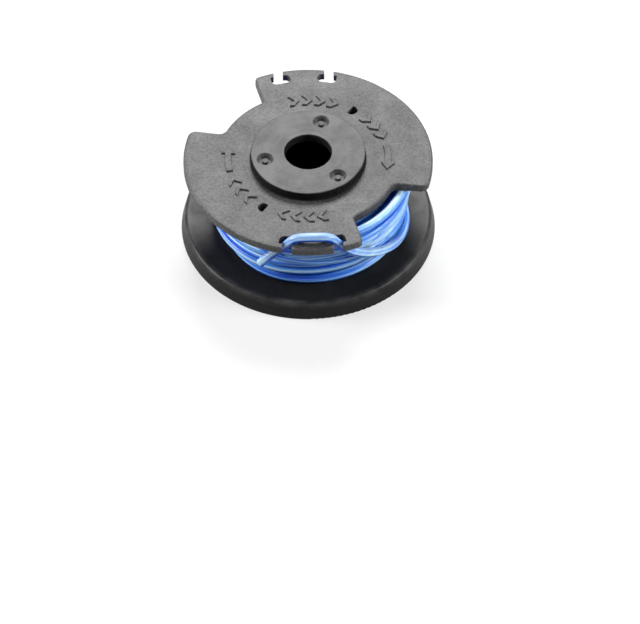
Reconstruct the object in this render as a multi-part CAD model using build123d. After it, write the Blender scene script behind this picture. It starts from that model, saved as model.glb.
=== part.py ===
from build123d import *
import math
import os

# An auto-feed trimmer line spool: a moulded spool wound with one length of cutting line.
# Millimetres, +Z up, origin on the bore's axis at the level of the face that the spool stands on.
# The looped end of the line is parked over the front tab, towards -Y.

# Cutting line
line_diameter = 2.03
turns_across = 7
wound_radius = 23.0  # over the fullest turns
wound_taper = 1.5  # the lowest turn lies this much further in
ridge_depth = 0.75  # from a turn's crest to the groove beside it

# Lower flange, a shallow plate turned down at its rim
rim_radius = 28.5
rim_height = 4.1
rim_taper = 0.9  # how far the rim leans in from bottom to top
rim_shoulder = 0.8
rim_foot_round = 0.3
rim_wall = 1.9
floor_thickness = 1.9

# Hub
hub_radius = 15.0
hub_wall = 1.8
hub_roof_thickness = 2.1
hub_root_round = 0.4

# Upper flange
flange_radius = 27.7
flange_top = 21.95
flange_rim_thickness = 1.65
flange_underside_slope = 3.7  # degrees, the way the mould's slides draw out
flange_edge_round = 0.4

# Raised disc on top, with the bore that turns on the trimmer's post
disc_radius = 12.7
disc_height = 2.15
disc_wall = 1.8
disc_thickness = 2.1
disc_edge_round = 0.2
bore_radius = 5.2

# Moulding gates in the disc: dimples that each hold a sheared stub
gate_count = 3
gate_circle_radius = 9.75
gate_first_angle = 70.4
dimple_radius = 1.9
dimple_floor_radius = 1.4
dimple_depth = 1.0
stub_radius = 0.6
stub_height = 0.45

# Open sectors of the upper flange, one on each side
cutout_radius = 20.15
cutout_angle = -43.4
cutout_half_opening = 32.5  # each side leans this far from the sector's middle
cutout_vertex = 8.6  # where the two sides would meet, from the axis
wing_inner_round = 1.9
ear_inner_round = 0.9
wing_outer_round = 1.8
ear_outer_round = 1.3

# Keyhole notches that park the line, a pair beside each tab. Their necks run straight out, beside
# the tab's middle line, and their pockets lie along the rim.
notch_offset = 5.71  # from the tab's middle line to the neck's
neck_width = 2.06
neck_length = 1.4
neck_inner_round = 0.22
neck_outer_round = 0.3
neck_lip = 0.42  # cut square beside the mouth, for its round
pocket_depth = 2.4
pocket_reach_in = 1.7  # past the neck's side, towards the tab's middle
pocket_reach_out = 0.6
pocket_round = 1.15
pocket_nook_round = 0.3  # the short corner outside the neck

# Holes in the upper flange that anchor the line's inner end, flat on one side
anchor_circle_radius = 17.8
anchor_angle = 54.4
anchor_radius = 1.3
anchor_flat = 0.5  # from the hole's middle

# Raised marks on the upper flange, an arrow and a run of chevrons on each side. They point
# clockwise, the way the line is wound. Angles are from +X.
mark_circle_radius = 17.8
mark_height = 0.4
mark_edge = 0.12  # slope taken off a mark's top edges
arrow_tail_angle = 10.7
arrow_tip_angle = -13.3
arrow_shaft_width = 1.45
arrow_head_width = 3.1
arrow_head_length = 2.1
chevron_angles = (98, 88.5, 79, 69.5, 40, 30.5, 21)  # none beside the anchor hole
chevron_width = 2.9
chevron_rise = 1.4  # how far the point leads the arms
chevron_stroke = 1.1  # along the run

# Lugs inside the hub that the feed mechanism drives, a low and a high ring out of step
lug_count = 6
lug_depth = 1.5
lug_width = 3.4
lug_height = 4.0
low_lug_base = 1.0
high_lug_gap = 0.6  # under the hub's roof

# Looped end of the line: up through the right notch, over the tab and down through the left.
# Each corner of its route is given by its angle round from the front tab's middle, its share of
# the way out from the winding to the pockets, and its share of the upper flange's height.
end_route = [
    (92.7, 0.0, 0.319),
    (78.4, 0.3, 0.337),
    (64.5, 0.53, 0.364),
    (50.7, 0.73, 0.428),
    (38.1, 0.8, 0.524),
    (27.1, 0.88, 0.647),
    (18.1, 0.935, 0.788),
    (13.2, 0.99, 0.925),
    (9.0, 1.04, 1.05),
    (0, 1.11, 1.085),
    (-9.0, 1.04, 1.05),
    (-13.2, 0.99, 0.925),
    (-18.6, 1.0, 0.811),
    (-25.3, 1.52, 0.674),
]

# Values worked out from those above
disc_top = flange_top + disc_height
hub_inner_radius = hub_radius - hub_wall
hub_roof = flange_top - hub_roof_thickness
rim_top_radius = rim_radius - rim_taper
line_radius = line_diameter / 2
pocket_radius = flange_radius - neck_length - pocket_depth / 2
tabs = (-90, 90)
sides = (0, 180)


def rounded_outline(corners):
    """A flat face from corners of (x, y, rounding)."""
    points = [(x, y) for x, y, _ in corners]
    roundings = [rounding for _, _, rounding in corners]
    return make_face(FilletPolyline(*points, radius=roundings, close=True))


def turned(*corners):
    """A solid turned about Z from corners of (radius, height, rounding)."""
    return revolve(Plane.XZ * rounded_outline(corners), Axis.Z)


def polar(radius, angle):
    """A point in the plan at a radius and an angle in degrees."""
    return radius * math.cos(math.radians(angle)), radius * math.sin(math.radians(angle))


def rounded(plan, rounding, *corners):
    """The plan with the vertex nearest to each of the corners rounded."""
    for corner in corners:
        vertex = plan.vertices().sort_by_distance((*corner, 0))[0]
        plan = fillet(vertex, rounding)
    return plan


def flange_underside(radius):
    """Height of the upper flange's sloped underside at a radius."""
    slope = math.tan(math.radians(flange_underside_slope))
    return flange_top - flange_rim_thickness - (flange_radius - radius) * slope


def cutout_corner(radius, side):
    """Where a side of an open sector crosses a radius, with the sector's middle along +X."""
    half = math.radians(cutout_half_opening)
    along = math.sqrt(radius**2 - (cutout_vertex * math.sin(half)) ** 2) - cutout_vertex * math.cos(half)
    return cutout_vertex + along * math.cos(half), side * along * math.sin(half)


def cutout_plan():
    """One open sector of the upper flange, its middle along +X."""
    far = 2 * flange_radius
    wedge = Polyline((cutout_vertex, 0), cutout_corner(far, 1), cutout_corner(far, -1), close=True)
    sector = make_face(wedge) - Circle(cutout_radius)
    sector = rounded(sector, wing_inner_round, cutout_corner(cutout_radius, 1))
    return rounded(sector, ear_inner_round, cutout_corner(cutout_radius, -1))


def notch_plan():
    """One keyhole notch beside a tab whose middle is along +X, on the +Y side."""
    near_side = notch_offset - neck_width / 2
    far_side = notch_offset + neck_width / 2
    half_length = (neck_width + pocket_reach_in + pocket_reach_out) / 2
    pocket_offset = notch_offset + (pocket_reach_out - pocket_reach_in) / 2
    pocket_angle = math.asin(pocket_offset / pocket_radius)

    def in_pocket(outward, along):
        return turned_point((pocket_radius + outward, along), math.degrees(pocket_angle))

    def on_shoulder(y):
        along = (y - (pocket_radius + pocket_depth / 2) * math.sin(pocket_angle)) / math.cos(pocket_angle)
        return in_pocket(pocket_depth / 2, along)

    def on_rim(y):
        return math.sqrt(flange_radius**2 - y**2), y

    far = 2 * flange_radius
    corners = [
        (far, near_side - neck_lip, 0),
        (*on_rim(near_side - neck_lip), 0),
        (*on_rim(near_side), neck_outer_round),
        (*on_shoulder(near_side), neck_inner_round),
        (*in_pocket(pocket_depth / 2, -half_length), pocket_round),
        (*in_pocket(-pocket_depth / 2, -half_length), pocket_round),
        (*in_pocket(-pocket_depth / 2, half_length), pocket_round),
        (*in_pocket(pocket_depth / 2, half_length), pocket_nook_round),
        (*on_shoulder(far_side), neck_inner_round),
        (*on_rim(far_side), neck_outer_round),
        (*on_rim(far_side + neck_lip), 0),
        (far, far_side + neck_lip, 0),
    ]
    return rounded_outline(corners)


def turned_point(point, angle):
    """A point of the plan turned about the axis by an angle in degrees."""
    return polar(math.hypot(*point), math.degrees(math.atan2(point[1], point[0])) + angle)


def flange_plan():
    """Outline of the upper flange with its open sectors and rounded corners."""
    plan = Circle(flange_radius)
    for side in sides:
        plan -= Rot(0, 0, cutout_angle + side) * cutout_plan()
    for side in sides:
        angle = cutout_angle + side
        plan = rounded(plan, wing_outer_round, turned_point(cutout_corner(flange_radius, 1), angle))
        plan = rounded(plan, ear_outer_round, turned_point(cutout_corner(flange_radius, -1), angle))
    return plan


def upper_flange():
    """The notched upper flange, thinner towards its rim, with its anchor holes."""
    base = flange_underside(hub_radius)
    plate = Pos(0, 0, base) * extrude(flange_plan(), flange_top - base)
    plate = fillet(plate.faces().sort_by(Axis.Z)[-1].outer_wire().edges(), flange_edge_round)
    beyond = 2 * flange_radius
    rim_underside = flange_underside(beyond)
    plate -= turned((hub_radius, base, 0), (beyond, rim_underside, 0), (beyond, base - disc_height, 0))
    plate -= Pos(0, 0, base) * Cylinder(hub_radius - hub_wall / 2, 2 * hub_roof_thickness + disc_height)
    notch = extrude(notch_plan(), 2 * flange_top)
    for tab in tabs:
        plate -= Rot(0, 0, tab) * notch
        plate -= Rot(0, 0, tab) * mirror(notch, Plane.XZ)
    for side in sides:
        plate -= Rot(0, 0, anchor_angle + side) * anchor_hole()
        for plan in (arrow_plan(), *chevron_plans()):
            plate += Rot(0, 0, side) * raised_mark(plan)
    return plate


def raised_mark(plan):
    """A mark standing on the upper flange, its top edges sloped."""
    mark = Pos(0, 0, flange_top - mark_height) * extrude(plan, 2 * mark_height)
    return chamfer(mark.faces().sort_by(Axis.Z)[-1].edges(), mark_edge)


def arrow_plan():
    """A curved arrow along the mark circle."""
    neck_angle = arrow_tip_angle + math.degrees(arrow_head_length / mark_circle_radius)
    inner = mark_circle_radius - arrow_shaft_width / 2
    outer = mark_circle_radius + arrow_shaft_width / 2
    outline = Polyline(
        polar(inner, neck_angle),
        polar(mark_circle_radius - arrow_head_width / 2, neck_angle),
        polar(mark_circle_radius, arrow_tip_angle),
        polar(mark_circle_radius + arrow_head_width / 2, neck_angle),
        polar(outer, neck_angle),
    )
    for radius in (inner, outer):
        outline += CenterArc((0, 0), radius, neck_angle, arrow_tail_angle - neck_angle)
    outline += Line(polar(inner, arrow_tail_angle), polar(outer, arrow_tail_angle))
    return make_face(outline)


def chevron_plans():
    """A run of chevrons along the mark circle."""
    inner = mark_circle_radius - chevron_width / 2
    outer = mark_circle_radius + chevron_width / 2
    arms = (chevron_rise - chevron_stroke) / 2
    point = arms - chevron_rise
    chevron = make_face(
        Polyline(
            (inner, arms),
            (mark_circle_radius, point),
            (outer, arms),
            (outer, arms + chevron_stroke),
            (mark_circle_radius, point + chevron_stroke),
            (inner, arms + chevron_stroke),
            close=True,
        )
    )
    return [Rot(0, 0, angle) * chevron for angle in chevron_angles]


def anchor_hole():
    """A hole for the line's inner end, round but for a flat, on the +X side."""
    round_hole = Pos(anchor_circle_radius, 0) * Circle(anchor_radius)
    flat = Pos(anchor_circle_radius, anchor_flat) * Rectangle(
        2 * anchor_radius, 2 * anchor_radius, align=(Align.CENTER, Align.MIN)
    )
    return extrude(round_hole - flat, 2 * flange_top)


def body_of_revolution():
    """Lower flange, hollow hub and raised disc, turned in one profile."""
    floor = rim_height - floor_thickness
    disc_underside = disc_top - disc_thickness
    return turned(
        (hub_inner_radius, 0, 0),
        (hub_radius, 0, 0),
        (hub_radius, floor, hub_root_round),
        (rim_top_radius - rim_wall, floor, hub_root_round),
        (rim_radius - rim_wall, 0, 0),
        (rim_radius, 0, rim_foot_round),
        (rim_top_radius, rim_height, rim_shoulder),
        (hub_radius, rim_height, hub_root_round),
        (hub_radius, flange_top, 0),
        (disc_radius, flange_top, disc_edge_round),
        (disc_radius, disc_top, disc_edge_round),
        (bore_radius, disc_top, disc_edge_round),
        (bore_radius, disc_underside, 0),
        (disc_radius - disc_wall, disc_underside, 0),
        (disc_radius - disc_wall, hub_roof, 0),
        (hub_inner_radius, hub_roof, 0),
    )


def drive_lugs():
    """Two rings of lugs on the hub's inner wall, half a step apart."""
    reach = lug_depth + hub_wall / 2
    lug = Pos(hub_inner_radius - lug_depth, 0, 0) * Box(
        reach, lug_width, lug_height, align=(Align.MIN, Align.CENTER, Align.MIN)
    )
    step = 360 / lug_count
    low = [Pos(0, 0, low_lug_base) * Rot(0, 0, i * step) * lug for i in range(lug_count)]
    high_base = hub_roof - high_lug_gap - lug_height
    high = [Pos(0, 0, high_base) * Rot(0, 0, (i + 0.5) * step) * lug for i in range(lug_count)]
    return low + high


def gate(i):
    """Place of a moulding gate on the disc's top face."""
    return Pos(*polar(gate_circle_radius, gate_first_angle + i * 360 / gate_count), disc_top)


def spool_body():
    """The whole moulded spool."""
    body = body_of_revolution() + upper_flange()
    for lug in drive_lugs():
        body += lug
    dimple = Pos(0, 0, -dimple_depth / 2) * Cone(dimple_floor_radius, dimple_radius, dimple_depth)
    stub = Pos(0, 0, stub_height / 2 - dimple_depth) * Cylinder(stub_radius, stub_height)
    for i in range(gate_count):
        body -= gate(i) * dimple
        body += gate(i) * stub
    return body


def crest(height):
    """Radius over the outermost turns at a height: they bulge, and the lowest lie further in."""
    rise = (height - rim_height) / (flange_underside(hub_radius) - rim_height)
    return wound_radius - wound_taper * (1 - rise) ** 2


def wound_turns():
    """The wound line as one solid, with a ridge for each of its outer turns."""
    bottom = rim_height
    top = flange_underside(hub_radius)
    pitch = (top - bottom) / turns_across
    grooves = [(crest(height) - ridge_depth, height) for height in (bottom, top)]
    inner = [(hub_radius, height) for height in (bottom, top)]
    outline = FilletPolyline(grooves[0], *inner, grooves[1], radius=line_radius)
    for turn in range(turns_across):
        low = bottom + turn * pitch
        middle = low + pitch / 2
        high = low + pitch
        outline += ThreePointArc(
            (crest(low) - ridge_depth, low), (crest(middle), middle), (crest(high) - ridge_depth, high)
        )
    return revolve(Plane.XZ * make_face(outline), Axis.Z)


def end_points():
    """Corners of the route of the line's looped end."""
    points = []
    for angle, outward, rise in end_route:
        height = rise * flange_top
        start_radius = crest(end_route[0][2] * flange_top) - line_radius
        radius = start_radius + outward * (pocket_radius - start_radius)
        points.append((*polar(radius, tabs[0] + angle), height))
    return points


def route_radii(points):
    """The largest sensible arc at each inner point of a route."""
    radii = []
    for before, point, after in zip(points, points[1:], points[2:]):
        arriving = Vector(*point) - Vector(*before)
        leaving = Vector(*after) - Vector(*point)
        half_turn = math.radians(arriving.get_angle(leaving)) / 2
        radii.append(0.45 * min(arriving.length, leaving.length) / math.tan(half_turn))
    return radii


def line_end():
    """The line's looped end, from the winding to its cut tip."""
    points = end_points()
    radii = route_radii(points)
    route = FilletPolyline(*points, radius=radii)
    print("line end, length", round(route.length, 1), "radii", [round(radius, 1) for radius in radii])
    start = Plane(route @ 0, z_dir=route % 0)
    return sweep(start * Circle(line_radius), path=route)


def trimmer_line():
    """The line, wound and with its end parked in the notches."""
    return wound_turns() + line_end()


os.makedirs("parts", exist_ok=True)
for name, solid in (("spool_body", spool_body()), ("trimmer_line", trimmer_line())):
    export_step(solid, f"parts/{name}.step")
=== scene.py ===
import math
import random
from types import SimpleNamespace

import bpy
from mathutils import Matrix, Vector


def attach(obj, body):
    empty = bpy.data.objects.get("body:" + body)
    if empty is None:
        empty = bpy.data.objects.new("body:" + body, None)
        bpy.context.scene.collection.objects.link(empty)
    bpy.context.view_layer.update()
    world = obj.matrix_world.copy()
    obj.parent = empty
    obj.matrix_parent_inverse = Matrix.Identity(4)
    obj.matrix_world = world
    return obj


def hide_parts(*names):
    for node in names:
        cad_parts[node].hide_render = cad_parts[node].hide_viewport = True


# A trimmer line spool on a pale studio floor. Sizes are in millimetres, and meshes are made in metres.

MM = 0.001

# Sizes shared with the solids
line_radius = 1.015
hub_radius = 15.0
rim_height = 4.1
flange_top = 21.95
flange_underside = 19.48  # beside the hub
flange_radius = 27.7
disc_radius = 12.7
disc_top = 24.1
bore_radius = 5.2
wound_radius = 23.0
wound_taper = 1.5
gate_count = 3
gate_circle_radius = 9.75
gate_first_angle = 70.4
pocket_radius = 25.1
front_tab_angle = -90

# Corners of the looped end's route: degrees round from the front tab's middle, share of the way
# out from the winding to the pockets, and share of the upper flange's height
end_route = [
    (92.7, 0.0, 0.319),
    (78.4, 0.3, 0.337),
    (64.5, 0.53, 0.364),
    (50.7, 0.73, 0.428),
    (38.1, 0.8, 0.524),
    (27.1, 0.88, 0.647),
    (18.1, 0.935, 0.788),
    (13.2, 0.99, 0.925),
    (9.0, 1.04, 1.05),
    (0, 1.11, 1.085),
    (-9.0, 1.04, 1.05),
    (-13.2, 0.99, 0.925),
    (-18.6, 1.0, 0.811),
    (-25.3, 1.52, 0.674),
]
end_start_angle = front_tab_angle + end_route[0][0]
end_start_height = end_route[0][2] * flange_top

# The wound line lies in layers. Each turn steps over to the next mostly at the front right, and the
# winding is flattened towards the rear left, most of all at its top.
wound_layers = 4
layer_depth = 1.93
inner_turns = 6.3
outer_turns = 4.5
outer_start_height = 16.9
lowest_turn = rim_height + line_radius
highest_turn = flange_underside - line_radius
step_over_angle = -20
step_over_share = 0.8
flattening = 2.2
flattened_angle = 160
sway_height = 0.5
sway_depth = 0.14
sway_seed = 11
tuck_angle = 30  # over which each layer's start comes up out of the one below

# Strands that show between the outer layer's turns or over them: from and to an angle, from and to
# a height, and how far they stand out from that layer. Both ends go down under it, between two turns.
loose_strands = [
    (220, -160, lowest_turn, lowest_turn, 0),
    (110, -270, 18.85, 18.85, 0),
    (24, -66, 17.3, 12.7, 0.1),
    (-30, -128, 10.3, 13.6, 0.3),
    (150, 60, 13.4, 17.5, 0.5),
    (-130, -190, 15.8, 11.15, 0.4),
]
end_dive = 1.3
end_dive_share = 0.14

# Fineness of the meshes
steps_in_turn = 96
wound_sides = 14
end_sides = 20
sharp_angle = 50

# Where the looks change: each pair says where a look starts and where it is whole
upper_heights = (15.0, 19.0)
disc_heights = (disc_top - 0.6, disc_top - 0.2)
border_radii = (flange_radius - 0.8, flange_radius - 0.5)
cavity_radii = (hub_radius - 0.6, hub_radius - 1.0)
cavity_heights = (flange_top - 0.05, flange_top - 0.35)
bore_radii = (bore_radius + 0.2, bore_radius + 0.05)
disc_wall_radii = (disc_radius - 0.1, disc_radius)
disc_foot_radii = (disc_radius + 0.5, disc_radius + 0.1)
shoulder_radii = (26.0, 27.0)
shoulder_heights = (2.4, 3.6)
flush_mark_radii = (1.95, 1.8)
parting_line_widths = (0.12, 0.04)
parting_angle = 73
# Painted highlight: where along X the line's streaks start and finish growing paler
painted_highlight_places = (0.0, 18.0)  # along X
clear_radii = (wound_radius, 24.6)
facing_up = (-0.1, 0.95)
noise_levels = (0.3, 0.7)
cloud_levels = (0.5, 0.8)
rubbed_levels = (0.25, 0.8)
brighter_tones = (0.4, 0.54)
streak_tones = (0.47, 0.66)

# Colours, the darker of a pair first
grain_colours = ((0.01, 0.01, 0.0105), (0.052, 0.052, 0.053))
disc_colours = ((0.006, 0.006, 0.0065), (0.05, 0.05, 0.051))
# The lower flange is darker than the upper: partly its own smoother finish, partly painted shade
lower_colours = ((0.002, 0.002, 0.002), (0.011, 0.011, 0.011))
cloud_colour = (0.07, 0.07, 0.07)
# Painted shade: near black laid over the disc's side wall and foot, and inside the hub and bore
shaded_colour = (0.003, 0.003, 0.003)
flush_colour = (0.08, 0.08, 0.08)
# Wear and painted highlight: a lighter band in patches round the lower flange's shoulder
wear_and_highlight_colour = (0.07, 0.07, 0.07)
line_colours = ((0.004, 0.045, 0.48), (0.05, 0.25, 0.68))
streak_colour = (0.5, 0.67, 0.76)
# Painted light: the pale tone of the line's upward-facing sides where it stands clear of the winding
painted_light_colour = (0.38, 0.5, 0.54)
floor_colour = (0.24, 0.24, 0.24, 1)
white = (1, 1, 1, 1)

# The photograph's camera, found by matching the flanges' outlines
camera_place = (-35.89, -959.5, 1037.1)
camera_target = (1.594, -26.183, 0.0)
camera_lens = 353.9
sensor_width = 36.0
camera_reach = 10  # metres

# Soft square lamps: name, place, size and power in watts
lamps = [
    ("key", (60, 760, 850), 430, 18.0),
    ("right_side", (800, -160, 430), 420, 11.0),
    ("left_side", (-780, 120, 380), 420, 12.0),
    ("front_fill", (-60, -950, 330), 500, 1.0),
]
lamp_target = (0, 0, 12)
room_light = 0.06  # what the room throws on the spool, as a share of the white that it is seen at
floor_reach = 3000
near_glow = 0.6  # how brightly the floor is seen beside the spool, as a share of its far part
white_floor_radii = (120, 900)


def polar(radius, angle):
    """A point in the plan at a radius and an angle in degrees."""
    return radius * math.cos(math.radians(angle)), radius * math.sin(math.radians(angle))


def new_mesh(name, points, faces, uvs=()):
    """An object, smooth but for its sharp edges, from points in millimetres, faces and corner UVs."""
    mesh = bpy.data.meshes.new(name)
    mesh.from_pydata([[c * MM for c in p] for p in points], [], faces)
    layer = mesh.uv_layers.new(name="along")
    for loop, uv in zip(layer.data, uvs):
        loop.uv = uv
    mesh.shade_smooth()
    mesh.set_sharp_from_angle(angle=math.radians(sharp_angle))
    piece = bpy.data.objects.new(name, mesh)
    bpy.context.scene.collection.objects.link(piece)
    return piece


# Materials


class Nodes:
    """The node tree of a material or world, with short ways to add and join its nodes."""

    def __init__(self, owner, shader="Principled BSDF"):
        owner.use_nodes = True
        self.owner = owner
        self.tree = owner.node_tree
        self.shader = self.tree.nodes[shader]

    def put(self, value, socket):
        """Joins a socket to another, or writes a constant on it."""
        if isinstance(value, bpy.types.NodeSocket):
            self.tree.links.new(value, socket)
        else:
            socket.default_value = value

    def add(self, kind, inputs, **settings):
        node = self.tree.nodes.new(kind)
        for key, value in settings.items():
            setattr(node, key, value)
        for key, value in inputs.items():
            self.put(value, node.inputs[key])
        return node

    def set(self, **inputs):
        """Writes or joins the shader's own inputs."""
        for key, value in inputs.items():
            self.put(value, self.shader.inputs[key.replace("_", " ")])

    def calculate(self, operation, first, second=0.0):
        return self.add("ShaderNodeMath", {0: first, 1: second}, operation=operation).outputs[0]

    def product(self, first, *others):
        for other in others:
            first = self.calculate("MULTIPLY", first, other)
        return first

    def weighted(self, base, *pairs):
        """A base plus several sockets, each times its weight."""
        for socket, weight in pairs:
            base = self.calculate("ADD", base, self.product(socket, weight))
        return base

    def length(self, x, y):
        """Distance from the origin of a point in the plan."""
        return self.calculate("SQRT", self.calculate("ADD", self.product(x, x), self.product(y, y)))

    def mix(self, factor, first, second):
        """Between two colours, each a socket or three numbers."""
        node = self.add("ShaderNodeMix", {0: factor}, data_type="RGBA")
        for colour, socket in ((first, node.inputs[6]), (second, node.inputs[7])):
            self.put((*colour, 1) if isinstance(colour, tuple) else colour, socket)
        return node.outputs[2]

    def noise(self, vector, scale, detail=4.0, roughness=0.55):
        inputs = {"Vector": vector, "Scale": scale, "Detail": detail, "Roughness": roughness}
        return self.add("ShaderNodeTexNoise", inputs).outputs[0]

    def stretched(self, vector, scale):
        return self.add("ShaderNodeMapping", {"Vector": vector, "Scale": scale}).outputs[0]

    def parts(self, vector):
        """The three numbers of a vector."""
        return self.add("ShaderNodeSeparateXYZ", {0: vector}).outputs

    def ramp(self, value, start, whole):
        """Goes smoothly from 0 where the value is at the start to 1 where it is whole."""
        inputs = {"Value": value, "From Min": start, "From Max": whole}
        return self.add("ShaderNodeMapRange", inputs, interpolation_type="SMOOTHSTEP").outputs[0]

    def fade(self, distance, start, whole):
        """A ramp over a distance, its ends in millimetres."""
        return self.ramp(distance, start * MM, whole * MM)

    def bump(self, height, strength, distance, normal=None):
        """Relief of a depth in millimetres."""
        inputs = {"Height": height, "Strength": strength, "Distance": distance * MM}
        if normal:
            inputs["Normal"] = normal
        return self.add("ShaderNodeBump", inputs).outputs[0]


def flush_marks(nodes, x, y):
    """1 inside the faint round marks between the disc's gates."""
    marks = 0.0
    step = 360 / gate_count
    for i in range(gate_count):
        centre = polar(gate_circle_radius * MM, gate_first_angle + (i - 0.5) * step)
        aside = [nodes.calculate("SUBTRACT", place, middle) for place, middle in zip((x, y), centre)]
        marks = nodes.calculate("MAXIMUM", marks, nodes.fade(nodes.length(*aside), *flush_mark_radii))
    return marks


def parting_line(nodes, x, y):
    """1 on the fine line that the mould's halves leave across the spool."""
    along, across = polar(1, parting_angle)
    away = nodes.calculate("ABSOLUTE", nodes.weighted(0.0, (x, across), (y, -along)))
    return nodes.fade(away, *parting_line_widths)


def spool_regions(nodes, place):
    """The distance from the axis, and masks from 0 to 1 for the parts that look different."""
    x, y, z = nodes.parts(place)
    from_axis = nodes.length(x, y)
    upper = nodes.fade(z, *upper_heights)
    lower = nodes.calculate("SUBTRACT", 1.0, upper)
    disc = nodes.fade(z, *disc_heights)
    disc_smoothness = nodes.product(disc, 0.75)
    smooth = nodes.calculate("MAXIMUM", disc_smoothness, nodes.fade(from_axis, *border_radii))
    # Masks for painted shade: inside the hub below the disc, the bore, and the disc's side wall with the
    # ring at its foot
    cavity = nodes.product(nodes.fade(from_axis, *cavity_radii), nodes.fade(z, *cavity_heights))
    wall = nodes.product(nodes.fade(from_axis, *disc_wall_radii), nodes.fade(from_axis, *disc_foot_radii))
    shoulder = nodes.product(nodes.fade(from_axis, *shoulder_radii), nodes.fade(z, *shoulder_heights))
    return SimpleNamespace(
        from_axis=from_axis,
        upper=upper,
        lower=lower,
        disc=disc,
        grained=nodes.product(upper, nodes.calculate("SUBTRACT", 1.0, smooth)),
        inside=nodes.calculate("MAXIMUM", cavity, nodes.fade(from_axis, *bore_radii)),
        wall=nodes.product(wall, upper),
        shoulder=nodes.product(shoulder, lower),
        flush=nodes.product(flush_marks(nodes, x, y), disc),
        seam=nodes.product(parting_line(nodes, x, y), lower),
    )


def spool_patterns(nodes, place, from_axis):
    """The plastic's unevenness, each kind from 0 to 1."""
    mottle = nodes.noise(place, scale=160, detail=6, roughness=0.65)
    upright = nodes.stretched(place, scale=(1, 1, 0.15))
    outward = nodes.add("ShaderNodeCombineXYZ", {0: from_axis}).outputs[0]
    return SimpleNamespace(
        grain=nodes.noise(place, scale=1500, detail=4, roughness=0.65),
        mottle=mottle,
        clouded=nodes.ramp(mottle, *noise_levels),
        cloud=nodes.ramp(nodes.noise(place, scale=45, detail=3), *cloud_levels),
        scuff=nodes.noise(upright, scale=420, detail=5, roughness=0.7),
        rubbed=nodes.ramp(nodes.noise(place, scale=330, detail=3), *rubbed_levels),
        swirl=nodes.noise(outward, scale=1700, detail=3),
    )


def spool_colour(nodes, regions, patterns):
    """The plastic's colour: first part by part, then what lies over them: random clouds, painted shade,
    flush marks, and the shoulder's wear with a painted highlight.
    """
    colour = nodes.mix(nodes.ramp(patterns.grain, *noise_levels), *grain_colours)
    colour = nodes.mix(regions.disc, colour, nodes.mix(patterns.clouded, *disc_colours))
    # Darker lower flange: partly its own colour, partly painted shade
    colour = nodes.mix(regions.lower, colour, nodes.mix(patterns.scuff, *lower_colours))
    # Painted shade on the disc's wall and foot, and inside the hub and bore
    shaded = nodes.calculate("MAXIMUM", regions.wall, regions.inside)
    # Wear and painted highlight on the lower flange's shoulder
    wear_and_highlight = nodes.product(regions.shoulder, patterns.rubbed)
    for mask, share, other in (
        (patterns.cloud, 0.25, cloud_colour),
        (shaded, 0.85, shaded_colour),
        (regions.flush, 0.1, flush_colour),
        (wear_and_highlight, 0.5, wear_and_highlight_colour),
    ):
        colour = nodes.mix(nodes.product(mask, share), colour, other)
    return colour


def spool_relief(nodes, regions, patterns):
    """Grain on the upper flange, scuffs, turning marks on the disc and the mould's traces."""
    grain = nodes.product(patterns.grain, regions.grained)
    swirl = nodes.product(patterns.swirl, regions.disc)
    traces = nodes.weighted(regions.seam, (regions.flush, 0.6))
    normal = nodes.bump(grain, strength=0.6, distance=0.12)
    normal = nodes.bump(patterns.scuff, strength=0.1, distance=0.1, normal=normal)
    normal = nodes.bump(swirl, strength=0.9, distance=0.14, normal=normal)
    return nodes.bump(traces, strength=0.6, distance=0.06, normal=normal)


def spool_plastic():
    """Black moulded plastic: sparked grain on the upper flange, smoother disc and lower flange."""
    nodes = Nodes(bpy.data.materials.new("spool_plastic"))
    place = nodes.add("ShaderNodeTexCoord", {}).outputs["Object"]
    regions = spool_regions(nodes, place)
    patterns = spool_patterns(nodes, place, regions.from_axis)
    sheen = nodes.product(nodes.calculate("SUBTRACT", patterns.clouded, 0.2), regions.disc)
    shine = nodes.weighted(
        0.42, (sheen, 0.24), (regions.lower, -0.27), (regions.inside, -0.4), (regions.wall, -0.38)
    )
    nodes.set(
        Base_Color=spool_colour(nodes, regions, patterns),
        Roughness=nodes.weighted(0.27, (patterns.mottle, 0.34), (regions.upper, 0.12), (regions.disc, 0.03)),
        Normal=spool_relief(nodes, regions, patterns),
        Specular_IOR_Level=nodes.calculate("MAXIMUM", shine, 0.0),
    )
    return nodes.owner


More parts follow.
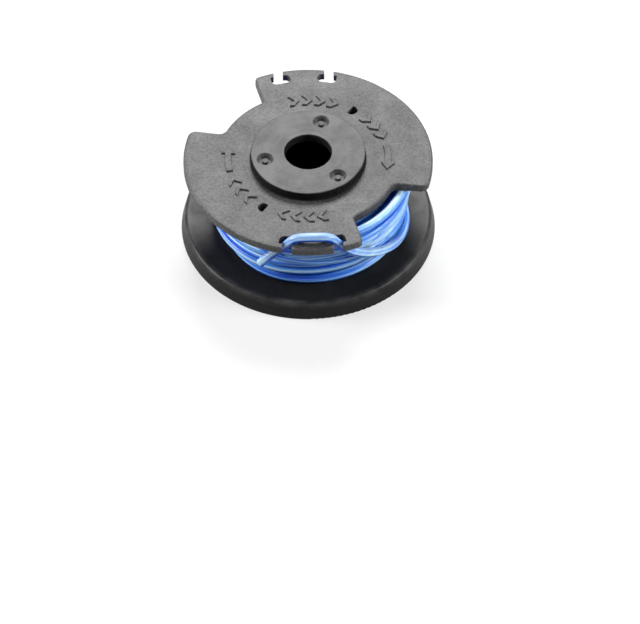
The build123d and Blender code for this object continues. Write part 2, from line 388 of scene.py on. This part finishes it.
def line_plastic():
    """Translucent blue nylon with pale streaks drawn out along the line, and painted highlights: towards the
    right, and on the upper sides of the line where it stands clear of the winding.
    """
    nodes = Nodes(bpy.data.materials.new("cutting_line"))
    coordinates = nodes.add("ShaderNodeTexCoord", {}).outputs
    along, place = coordinates["UV"], coordinates["Object"]
    streak = nodes.noise(nodes.stretched(along, scale=(11, 9, 1)), scale=1.0, detail=5)
    fleck = nodes.noise(nodes.stretched(along, scale=(300, 8, 1)), scale=1.0)
    strand = nodes.noise(nodes.stretched(place, scale=(28, 28, 430)), scale=1.0, detail=2)

    # Painted highlight: more of the streaks are pale towards the right, where the winding is lit
    x, y, _ = nodes.parts(place)
    painted_highlight = nodes.fade(x, *painted_highlight_places)
    tone = nodes.weighted(-0.02, (streak, 0.65), (strand, 0.35), (painted_highlight, 0.05))
    colour = nodes.mix(nodes.ramp(tone, *brighter_tones), *line_colours)
    colour = nodes.mix(nodes.ramp(tone, *streak_tones), colour, streak_colour)

    # Painted light: where the line stands clear of the winding, its upward-facing sides are made paler,
    # standing in for light coming through it
    facing = nodes.add("ShaderNodeNewGeometry", {}).outputs["Normal"]
    upward = nodes.ramp(nodes.parts(facing)[2], *facing_up)
    clear = nodes.product(nodes.fade(nodes.length(x, y), *clear_radii), upward, 0.55)
    colour = nodes.mix(clear, colour, painted_light_colour)

    nodes.set(Base_Color=colour, Roughness=0.3, Normal=nodes.bump(fleck, strength=0.12, distance=0.2))
    nodes.set(Subsurface_Weight=0.5, Subsurface_Radius=(0.5, 0.8, 1.4), Subsurface_Scale=1.6 * MM)
    nodes.set(Specular_IOR_Level=0.2, Coat_Weight=0.16, Coat_Roughness=0.16)
    return nodes.owner


# The wound line


def rise(height):
    """Share of the way from the lower flange to the upper one."""
    return (height - rim_height) / (flange_underside - rim_height)


def crest(height):
    """Radius over the outermost turns at a height."""
    return wound_radius - wound_taper * (1 - rise(height)) ** 2


def lying_radius(angle, height, layer):
    """Radius of a strand's middle in a layer, counted inwards from the outermost."""
    towards = max(0, math.cos(math.radians(angle - flattened_angle)))
    flatter = flattening * rise(height) * towards**2 * (1 - layer / wound_layers)
    radius = crest(height) - line_radius - flatter - layer * layer_depth
    return max(radius, hub_radius + line_radius)


def laid_turns(turns, first_height, last_height, layer):
    """The path of one layer, laid clockwise, ending where the looped end begins."""
    wander = random.Random(layer + sway_seed)
    waves = [(order, wander.uniform(0, 360)) for order in (1, 2, 3)]

    def climb(angle):
        early = math.sin(math.radians(step_over_angle + 180 - angle)) * step_over_share / math.tau
        return (end_start_angle - angle) / 360 - early

    first_angle = end_start_angle + 360 * turns
    steps = round(turns * steps_in_turn)
    path = []
    for step in range(steps + 1):
        share = step / steps
        angle = first_angle - 360 * turns * share
        risen = (climb(angle) - climb(first_angle)) / (climb(end_start_angle) - climb(first_angle))
        loose = math.sin(math.pi * share)
        sway = sum(math.sin(math.radians(order * angle + phase)) / order for order, phase in waves)
        height = first_height + (last_height - first_height) * risen + sway_height * sway * loose
        tucked = layer_depth * max(0, 1 - (first_angle - angle) / tuck_angle)
        radius = lying_radius(angle, height, layer) - sway_depth * loose * (1 + sway) / 2 - tucked
        path.append((*polar(radius, angle), height))
    return path


def loose_strand(first_angle, last_angle, first_height, last_height, lift):
    """The path of a strand that comes up through the outer layer and goes down again."""
    path = []
    for step in range(steps_in_turn + 1):
        share = step / steps_in_turn
        angle = first_angle + (last_angle - first_angle) * share
        height = first_height + (last_height - first_height) * share
        risen = min(1, share / end_dive_share, (1 - share) / end_dive_share)
        out = (lift + end_dive) * math.sin(risen * math.pi / 2) ** 2 - end_dive
        path.append((*polar(lying_radius(angle, height, 0) + out, angle), height))
    return path


def tube(path, sides):
    """The line along a path: points, faces and UVs of metres along it and turns around it."""
    path = [Vector(p) for p in path]
    last = len(path) - 1
    side = (path[1] - path[0]).orthogonal()
    points, lengths = [], [0.0]
    for i, point in enumerate(path):
        tangent = (path[min(i + 1, last)] - path[max(i - 1, 0)]).normalized()
        side = (side - tangent * side.dot(tangent)).normalized()
        other = tangent.cross(side)
        if i:
            lengths.append(lengths[-1] + (point - path[i - 1]).length * MM)
        for j in range(sides):
            turn = math.tau * j / sides
            points.append(point + line_radius * (math.cos(turn) * side + math.sin(turn) * other))
    faces, uvs = [], []
    for i in range(last):
        for j in range(sides):
            k = (j + 1) % sides
            faces.append((i * sides + j, i * sides + k, (i + 1) * sides + k, (i + 1) * sides + j))
            near, far = lengths[i], lengths[i + 1]
            uvs += [(near, j / sides), (near, (j + 1) / sides), (far, (j + 1) / sides), (far, j / sides)]
    faces.append(tuple(reversed(range(sides))))
    faces.append(tuple(range(last * sides, (last + 1) * sides)))
    uvs += [(0.0, 0.5)] * (2 * sides)
    return points, faces, uvs


def winding():
    """The inner layers of wound line and the loose strands, as one piece."""
    paths = []
    first, last = lowest_turn, highest_turn
    for layer in reversed(range(1, wound_layers)):
        paths.append(laid_turns(inner_turns, first, last, layer))
        first, last = last, first
    paths += [loose_strand(*strand) for strand in loose_strands]
    points, faces, uvs = [], [], []
    pattern_shift = 0.37  # metres, so that no two strands have the same streaks
    for number, path in enumerate(paths):
        tube_points, tube_faces, tube_uvs = tube(path, wound_sides)
        base = len(points)
        points += tube_points
        faces += [tuple(base + i for i in face) for face in tube_faces]
        uvs += [(u + pattern_shift * number, v) for u, v in tube_uvs]
    return new_mesh("winding", points, faces, uvs)


def end_path():
    """The path of the looped end, from the winding over the front tab to its cut tip."""
    start_radius = crest(end_start_height) - line_radius
    curve = bpy.data.curves.new("route", "CURVE")
    curve.dimensions = "3D"
    spline = curve.splines.new("NURBS")
    spline.points.add(len(end_route) - 1)
    for point, (angle, outward, upward) in zip(spline.points, end_route):
        radius = start_radius + outward * (pocket_radius - start_radius)
        point.co = (*polar(radius, front_tab_angle + angle), upward * flange_top, 1)
    spline.order_u = 3
    spline.use_endpoint_u = True
    guide = bpy.data.objects.new("route", curve)
    path = [tuple(v.co) for v in bpy.data.meshes.new_from_object(guide).vertices]
    bpy.data.objects.remove(guide)
    return path


def outer_layer():
    """The outer layer of wound line, run on without a break into its looped end."""
    path = laid_turns(outer_turns, outer_start_height, end_start_height, 0)
    return new_mesh("outer_layer", *tube(path + end_path()[1:], end_sides))


# Stage


def aimed(place, target):
    """The placing of a lamp or camera that looks from a place at a target."""
    place, target = Vector(place) * MM, Vector(target) * MM
    return Matrix.Translation(place) @ (target - place).to_track_quat("-Z", "Y").to_matrix().to_4x4()


def area_light(name, place, size, power):
    """A square soft light aimed at the spool."""
    light = bpy.data.lights.new(name, "AREA")
    light.shape = "SQUARE"
    light.size = size * MM
    light.energy = power
    lamp = bpy.data.objects.new(name, light)
    lamp.matrix_world = aimed(place, lamp_target)
    bpy.context.scene.collection.objects.link(lamp)


def seen_directly(nodes):
    """1 for what the camera sees, also in a reflection or through something clear."""
    ray = nodes.add("ShaderNodeLightPath", {}).outputs
    seen = nodes.calculate("ADD", ray["Is Camera Ray"], ray["Is Glossy Ray"])
    return nodes.calculate("ADD", seen, ray["Is Transmission Ray"])


def floor():
    """A floor that looks near white, yet throws only a little light up at the spool."""
    far = floor_reach
    corners = [(-far, -far, 0), (far, -far, 0), (far, far, 0), (-far, far, 0)]
    plate = new_mesh("floor", corners, [(0, 1, 2, 3)])
    nodes = Nodes(bpy.data.materials.new("floor"))
    x, y, _ = nodes.parts(nodes.add("ShaderNodeTexCoord", {}).outputs["Object"])
    distant = nodes.fade(nodes.length(x, y), *white_floor_radii)
    glow = nodes.weighted(near_glow, (distant, 1 - near_glow))
    nodes.set(Base_Color=floor_colour, Roughness=0.9, Specular_IOR_Level=0.0)
    nodes.set(Emission_Color=white, Emission_Strength=nodes.product(seen_directly(nodes), glow))
    plate.data.materials.append(nodes.owner)


def lights():
    """A broad soft key from behind and above, softer ones around and a white but weak room."""
    world = bpy.data.worlds.new("studio")
    nodes = Nodes(world, "Background")
    strength = nodes.weighted(room_light, (seen_directly(nodes), 1 - room_light))
    nodes.set(Color=white, Strength=strength)
    bpy.context.scene.world = world
    for lamp in lamps:
        area_light(*lamp)


def camera():
    """The photograph's camera."""
    data = bpy.data.cameras.new("camera")
    data.lens = camera_lens
    data.sensor_width = sensor_width
    data.sensor_fit = "HORIZONTAL"
    data.clip_end = camera_reach
    shot = bpy.data.objects.new("camera", data)
    shot.matrix_world = aimed(camera_place, camera_target)
    bpy.context.scene.collection.objects.link(shot)
    bpy.context.scene.camera = shot


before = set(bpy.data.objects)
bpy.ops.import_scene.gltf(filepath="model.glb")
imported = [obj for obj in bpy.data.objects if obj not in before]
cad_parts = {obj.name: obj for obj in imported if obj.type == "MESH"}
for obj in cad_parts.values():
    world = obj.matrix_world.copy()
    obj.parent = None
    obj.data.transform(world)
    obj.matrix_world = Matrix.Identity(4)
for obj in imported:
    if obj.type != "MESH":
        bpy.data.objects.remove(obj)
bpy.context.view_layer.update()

plastic = spool_plastic()
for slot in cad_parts["spool_body"].material_slots:
    slot.material = plastic

line = line_plastic()
for piece in (winding(), outer_layer()):
    piece.data.materials.append(line)
    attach(piece, "root")
    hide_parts("trimmer_line")

floor()
lights()
camera()
bpy.context.scene.view_settings.view_transform = "Standard"
